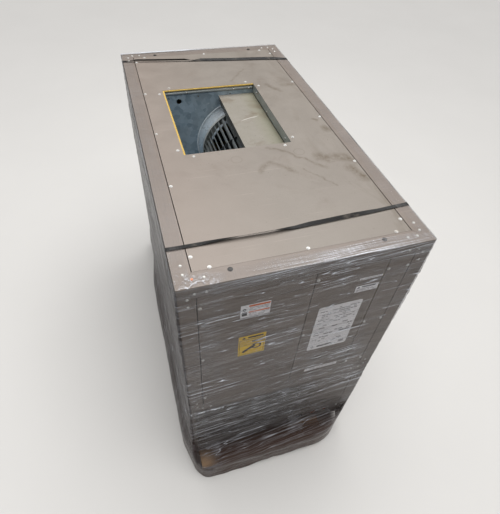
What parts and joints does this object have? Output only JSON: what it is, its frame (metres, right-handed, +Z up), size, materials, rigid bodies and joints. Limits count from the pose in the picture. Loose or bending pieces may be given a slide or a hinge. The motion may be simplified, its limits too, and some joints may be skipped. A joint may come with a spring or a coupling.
{
  "type": "vertical belt-drive air-handling unit on a shipping skid",
  "caption": "Tall two-module sheet-metal air handler with a double-inlet blower under its top outlet, strapped to a wooden skid and wrapped in stretch film.",
  "frame": {"origin": "on the floor, under the middle of the cabinet", "axes": "+Z up, +Y from the front face to the rear face, +X to the right seen from the front"},
  "size_m": [0.8092, 1.6352, 1.3524],
  "materials": {
    "panel_paint": "satin baked enamel, champagne",
    "galvanised": "galvanised, dull spangle",
    "wheel_steel": "galvanised, smooth",
    "dusty_steel": "matt with settled dust",
    "bright_steel": "bright zinc",
    "black_plastic": "matt",
    "insulation": "bonded glass fibre",
    "cast_grey": "painted",
    "motor_paint": "semi-gloss",
    "belt_rubber": "matt",
    "coil_metal": "fins",
    "copper": "copper tube",
    "filter_media": "pleated media",
    "label": "printed label",
    "skid_wood": "rough sawn",
    "strap_black": "ribbed strapping",
    "film": "clear stretch film"
  },
  "bodies": {
    "cabinet": {"front_top_rail": "panel_paint", "rear_top_rail": "panel_paint", "side_top_rails": "panel_paint", "module_joint_rails": "panel_paint", "base_rails": "panel_paint", "upper_corner_posts": "panel_paint", "lower_corner_posts": "panel_paint", "corner_gussets": "galvanised", "top_panel": "panel_paint", "blower_access_panel": "panel_paint", "control_panel_cover": "panel_paint", "filler_panel": "panel_paint", "coil_access_panel": "panel_paint", "piping_panel": "panel_paint", "upper_side_panels": "panel_paint", "lower_side_panels": "panel_paint", "rear_panel": "panel_paint", "return_panel": "panel_paint", "bottom_panel": "galvanised", "hole_plugs": "black_plastic", "corner_rivets": "bright_steel", "cabinet_screws": "bright_steel", "wall_insulation": "insulation", "top_insulation": "insulation", "outlet_flanges": "galvanised", "opening_gasket": "insulation", "scroll_sheet": "galvanised", "front_side_plate": "galvanised", "rear_side_plate": "galvanised", "cutoff_plate": "dusty_steel", "inlet_rings": "galvanised", "bearing_supports": "galvanised", "blower_bearings": "cast_grey", "drive_belt": "belt_rubber", "motor_body": "motor_paint", "motor_base": "galvanised", "support_rails": "galvanised", "control_box": "galvanised", "contactor": "black_plastic", "cooling_coil": "coil_metal", "coil_tubes": "copper", "drain_pan": "black_plastic", "air_filters": "filter_media", "filter_rack": "galvanised", "nameplate": "label", "stickers": "label", "skid_runners": "skid_wood", "deck_boards": "skid_wood", "shipping_straps": "strap_black", "strap_seals": "bright_steel", "stretch_film": "film"},
    "blower_wheel": {"wheel_blades": "wheel_steel", "wheel_rims": "wheel_steel", "wheel_center_plate": "wheel_steel", "wheel_hub": "wheel_steel", "blower_shaft": "bright_steel", "blower_pulley": "cast_grey"},
    "motor_rotor": {"motor_shaft": "bright_steel", "motor_pulley": "cast_grey"}
  },
  "joints": [
    {"name": "wheel_spin", "type": "hinge", "parent": "cabinet", "child": "blower_wheel", "pos_m": [0.0885, 0.09, 1.078], "axis": [0, 1, 0], "continuous": true},
    {"name": "motor_spin", "type": "hinge", "parent": "cabinet", "child": "motor_rotor", "pos_m": [-0.175, -0.28, 0.71], "axis": [0, 1, 0], "continuous": true}
  ],
  "couplings": [
    {"joint": "motor_spin", "follows": "wheel_spin", "ratio": 2}
  ]
}
